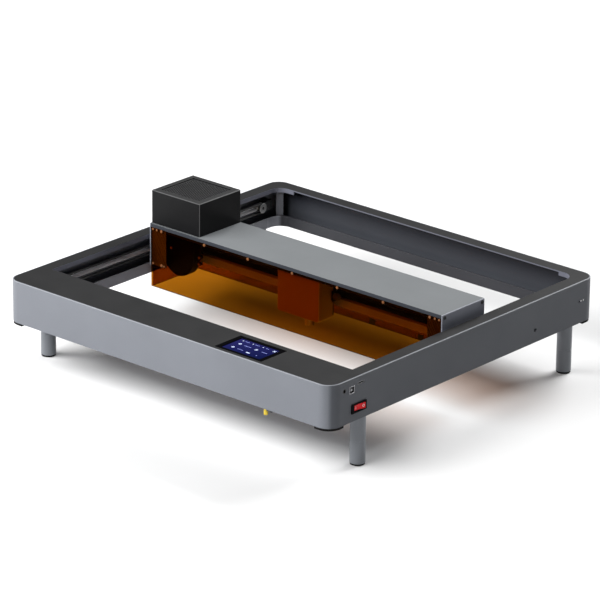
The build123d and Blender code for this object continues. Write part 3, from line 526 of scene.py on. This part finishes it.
def screen_marks():
    """The menu on the display: plain icons, each beside a dashed bar, and a row of small ones above."""
    low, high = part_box("screen_glass")
    wide, deep = high.x - low.x, high.y - low.y
    z = low.z + 0.02 * MM

    def at(u, v):
        return low.x + u * wide, low.y + v * deep

    bright = bmesh.new()
    for u in (0.10, 0.36, 0.62):
        disc(bright, *at(u, 0.88), z, 1.0 * MM)
    for u, v in ((0.16, 0.62), (0.16, 0.28)):
        x, y = at(u, v)
        disc(bright, x, y, z, 2.3 * MM, inner=1.4 * MM)
        bar(bright, x, y, z, 5.2 * MM, 0.8 * MM, math.radians(45))
    x, y = at(0.60, 0.58)
    disc(bright, x, y, z, 2.5 * MM, inner=1.8 * MM)
    bar(bright, x, y + 1.0 * MM, z, 1.0 * MM, 2.6 * MM)
    x, y = at(0.58, 0.22)
    bar(bright, x, y, z, 4.6 * MM, 2.6 * MM)
    disc(bright, x + 2.3 * MM, y, z, 1.3 * MM)
    disc(bright, x - 2.3 * MM, y, z, 1.3 * MM)
    x, y = at(0.92, 0.86)
    bar(bright, x, y, z, 6.0 * MM, 1.2 * MM, math.radians(50))
    bar(bright, x, y, z, 6.0 * MM, 1.2 * MM, math.radians(-40))
    bars = bmesh.new()
    for u, v, count in ((0.21, 0.88, 3), (0.47, 0.88, 3), (0.73, 0.88, 2), (0.37, 0.60, 5), (0.36, 0.26, 4),
                        (0.82, 0.56, 4), (0.80, 0.22, 1)):
        x, y = at(u, v)
        for i in range(count):
            bar(bars, x + (i - (count - 1) / 2) * 2.7 * MM, y, z, 1.9 * MM, 1.1 * MM)
    piece("screen_icons", bright, "frame", lit("icon_light", (0.70, 0.78, 1.0), 0.62))
    piece("screen_bars", bars, "frame", lit("bar_light", (0.33, 0.38, 0.85), 0.60))


def turned(name, profile, axis, centre, body, material):
    """A lathed piece: profile holds (radius, height) pairs along the axis from the centre."""
    mesh = bmesh.new()
    rings = []
    for radius, height in profile:
        if radius <= 0:
            rings.append([mesh.verts.new((0, 0, height))])
            continue
        rings.append([mesh.verts.new((radius * math.cos(t), radius * math.sin(t), height))
                      for t in circle(LATHE_SIDES)])
    for first, second in zip(rings, rings[1:]):
        for i in range(LATHE_SIDES):
            corners = [first[i % len(first)], first[(i + 1) % len(first)],
                       second[(i + 1) % len(second)], second[i % len(second)]]
            mesh.faces.new(list(dict.fromkeys(corners)))
    bmesh.ops.recalc_face_normals(mesh, faces=mesh.faces)
    turn = Vector((0, 0, 1)).rotation_difference(Vector(axis)).to_matrix().to_4x4()
    bmesh.ops.transform(mesh, matrix=Matrix.Translation(centre) @ turn, verts=mesh.verts)
    piece(name, mesh, body, material)


def end_screws(materials):
    """Two socket screws near the top corners of each end plate."""
    low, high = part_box("gantry_ends")
    inset, drop = 5.5 * MM, 4.5 * MM
    head, socket, rise, deep = 3.0 * MM, 1.5 * MM, 1.0 * MM, 0.8 * MM
    profile = [(0, 0), (head, 0), (head, 0.6 * rise), (0.8 * head, rise), (socket, rise),
               (socket, rise - deep), (0, rise - deep)]
    for side, x, hand in ((-1, low.x, "left"), (1, high.x, "right")):
        for place, y in (("front", low.y + inset), ("rear", high.y - inset)):
            turned(f"end_screw_{hand}_{place}", profile, (side, 0, 0), (x, y, high.z - drop),
                   "gantry", materials["bracket_black"])


def blower_caps():
    """Bright plated caps on the blower's three screws."""
    plated = surface("plated_cap", (0.85, 0.70, 0.55), 0.35, 0.0, 0.5, edge=0.0002)
    profile = [(0, 0), (2.0 * MM, 0), (1.6 * MM, 0.5 * MM), (0, 0.5 * MM)]
    housing_low, housing_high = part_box("blower_housing")
    screw_head, lug = 2 * MM, 4 * MM
    faces = {"front": housing_low.y, "lug": housing_high.y - lug}
    for number, (x, face, z) in enumerate(BLOWER_SCREWS):
        centre = (x * MM, faces[face] - screw_head, z * MM)
        turned(f"blower_cap_{number}", profile, (0, -1, 0), centre, "gantry", plated)


def side_plugs():
    """Pale plugs in two of the three small holes near the rear of the right face."""
    pale = surface("pale_plug", (0.85, 0.85, 0.86), 0.4, edge=0.0001)
    low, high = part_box("outer_band")
    radius, face_radius, wall, length = 1.4 * MM, 1.0 * MM, 1.4 * MM, 1.7 * MM
    sunk = 1.9 * MM
    profile = [(0, 0), (radius, 0), (radius, wall), (face_radius, length), (0, length)]
    for number, y in enumerate(SIDE_PLUGS_Y):
        centre = (high.x - sunk, y * MM, low.z + SIDE_PLUGS_RISE * MM)
        turned(f"side_plug_{number}", profile, (1, 0, 0), centre, "frame", pale)


def rocker_mark():
    """A pale ring at the off end of the rocker, and a short bar at its on end."""
    low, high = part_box("power_rocker")
    ring_from_end, bar_from_end, bar_half, bar_wide = 4.4 * MM, 3.5 * MM, 1.9 * MM, 0.8 * MM
    mesh = bmesh.new()
    x, y, z = high.x, high.y - ring_from_end, (low.z + high.z) / 2
    rings = [[mesh.verts.new((x, y + radius * math.cos(t), z + radius * math.sin(t)))
              for t in circle(RING_SIDES)] for radius in (2.0 * MM, 1.25 * MM)]
    thicken(mesh, band_between(mesh, *rings), (ROCKER_INK_HEIGHT, 0, 0))
    bar_y = low.y + bar_from_end
    slab(mesh, (x, bar_y, z - bar_half), (x + ROCKER_INK_HEIGHT, bar_y + bar_wide, z + bar_half))
    slope_to_rocker(mesh, high)
    ink = surface("pale_ink", (0.75, 0.55, 0.55), 0.5, edge=0.0001)
    piece("rocker_mark", mesh, "rocker", ink)


def slope_to_rocker(mesh, high):
    """Lays flat marks onto the rocker's face, which follows its outline along the upper edge."""
    edge_band, face_depth, shortest = 0.2 * MM, 4.0 * MM, 0.5 * MM
    rocker = NODES["power_rocker"].data
    points = [v.co for v in rocker.vertices if abs(v.co.z - high.z) < edge_band]
    outline = sorted((p for p in points if p.x > high.x - face_depth), key=lambda p: p.y)
    for vertex in mesh.verts:
        for a, b in zip(outline, outline[1:]):
            if a.y <= vertex.co.y <= b.y and b.y - a.y > shortest:
                share = (vertex.co.y - a.y) / (b.y - a.y)
                vertex.co.x += a.x + share * (b.x - a.x) - high.x + ROCKER_INK_GAP
                break


def shield_fixings(materials):
    """Small clips that hold the rear shield under the beam, and two square pads low on it."""
    low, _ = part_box("shield_rear")
    gap = 0.1 * MM
    for name, places, levels, thick in (("shield_clips", SHIELD_CLIPS_X, SHIELD_CLIPS_Z, 2.2 * MM),
                                        ("shield_pads", SHIELD_PADS_X, SHIELD_PADS_Z, 2.0 * MM)):
        mesh = bmesh.new()
        for x in places:
            slab(mesh, ((x - FIXING_HALF) * MM, low.y - thick, levels[0] * MM),
                 ((x + FIXING_HALF) * MM, low.y - gap, levels[1] * MM))
        piece(name, mesh, "gantry", materials["bracket_black"])


def connector_base(materials):
    """The black base beside the brass connector, under the front housing."""
    low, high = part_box("antenna_connector")
    gap, inset, length = 0.3 * MM, 0.4 * MM, 10 * MM
    bottom, top = CONNECTOR_BASE_Z
    base = bmesh.new()
    slab(base, (high.x + gap, low.y + inset, bottom * MM), (high.x + length, high.y, top * MM))
    piece("connector_base", base, "frame", materials["bracket_black"])


# ---------------------------------------------------------------- studio

def floor():
    """A plain white floor, far wider than the picture."""
    mesh = bpy.data.meshes.new("studio_floor")
    corners = [(x * FLOOR_REACH, y * FLOOR_REACH, 0) for x, y in ((-1, -1), (1, -1), (1, 1), (-1, 1))]
    mesh.from_pydata(corners, [], [(0, 1, 2, 3)])
    thing = bpy.data.objects.new("studio_floor", mesh)
    bpy.context.scene.collection.objects.link(thing)
    material, _, shader = new_material("studio_white")
    shader.inputs["Base Color"].default_value = (FLOOR_WHITE, FLOOR_WHITE, FLOOR_WHITE, 1)
    shader.inputs["Roughness"].default_value = 0.9
    shader.inputs["Specular IOR Level"].default_value = 0.1
    mesh.materials.append(material)


def softbox(name, azimuth, elevation, distance, size, power):
    """An area light aimed at the machine's foot. Azimuth 0 is in front of it, and +90 on its right."""
    data = bpy.data.lights.new(name, "AREA")
    data.shape = "RECTANGLE"
    data.size, data.size_y = size
    data.energy = power
    light = bpy.data.objects.new(name, data)
    a, e = math.radians(azimuth), math.radians(elevation)
    place = distance * Vector((math.sin(a) * math.cos(e), -math.cos(a) * math.cos(e), math.sin(e)))
    light.location = place
    light.rotation_mode = "QUATERNION"
    light.rotation_quaternion = (-place).to_track_quat("-Z", "Y")
    bpy.context.scene.collection.objects.link(light)


def studio():
    """The floor, a little light from all round, a key light in front and a large one behind."""
    floor()
    world = bpy.data.worlds.new("studio_air")
    bpy.context.scene.world = world
    world.use_nodes = True
    air = world.node_tree.nodes["Background"]
    air.inputs["Color"].default_value = (0.96, 0.98, 1.0, 1)
    air.inputs["Strength"].default_value = WORLD_LIGHT
    softbox("front", -26, 38, 2.3, (2.8, 1.3), 118)
    softbox("rear", 180, 33, 6.0, (4.4, 2.6), 660)
    bpy.context.scene.view_settings.view_transform = "Standard"


def camera():
    """A long lens, looking down at the machine's front right corner."""
    a, e = AZIMUTH, ELEVATION
    back = Vector((math.sin(a) * math.cos(e), -math.cos(a) * math.cos(e), math.sin(e)))
    right = Vector((math.cos(a), math.sin(a), 0))
    up = back.cross(right)
    c, s = math.cos(ROLL), math.sin(ROLL)
    axes = Matrix((c * right + s * up, c * up - s * right, back)).transposed()
    data = bpy.data.cameras.new("camera")
    data.sensor_width = SENSOR
    data.lens = LENS
    data.clip_end = 100
    view = bpy.data.objects.new("camera", data)
    view.matrix_world = Matrix.Translation(CAMERA_PLACE) @ axes.to_4x4()
    bpy.context.scene.collection.objects.link(view)
    bpy.context.scene.camera = view


def main():
    materials = finishes()
    dress_nodes(materials)
    grille_plate(materials)
    screen_marks()
    end_screws(materials)
    blower_caps()
    side_plugs()
    rocker_mark()
    shield_fixings(materials)
    connector_base(materials)
    studio()
    camera()


main()
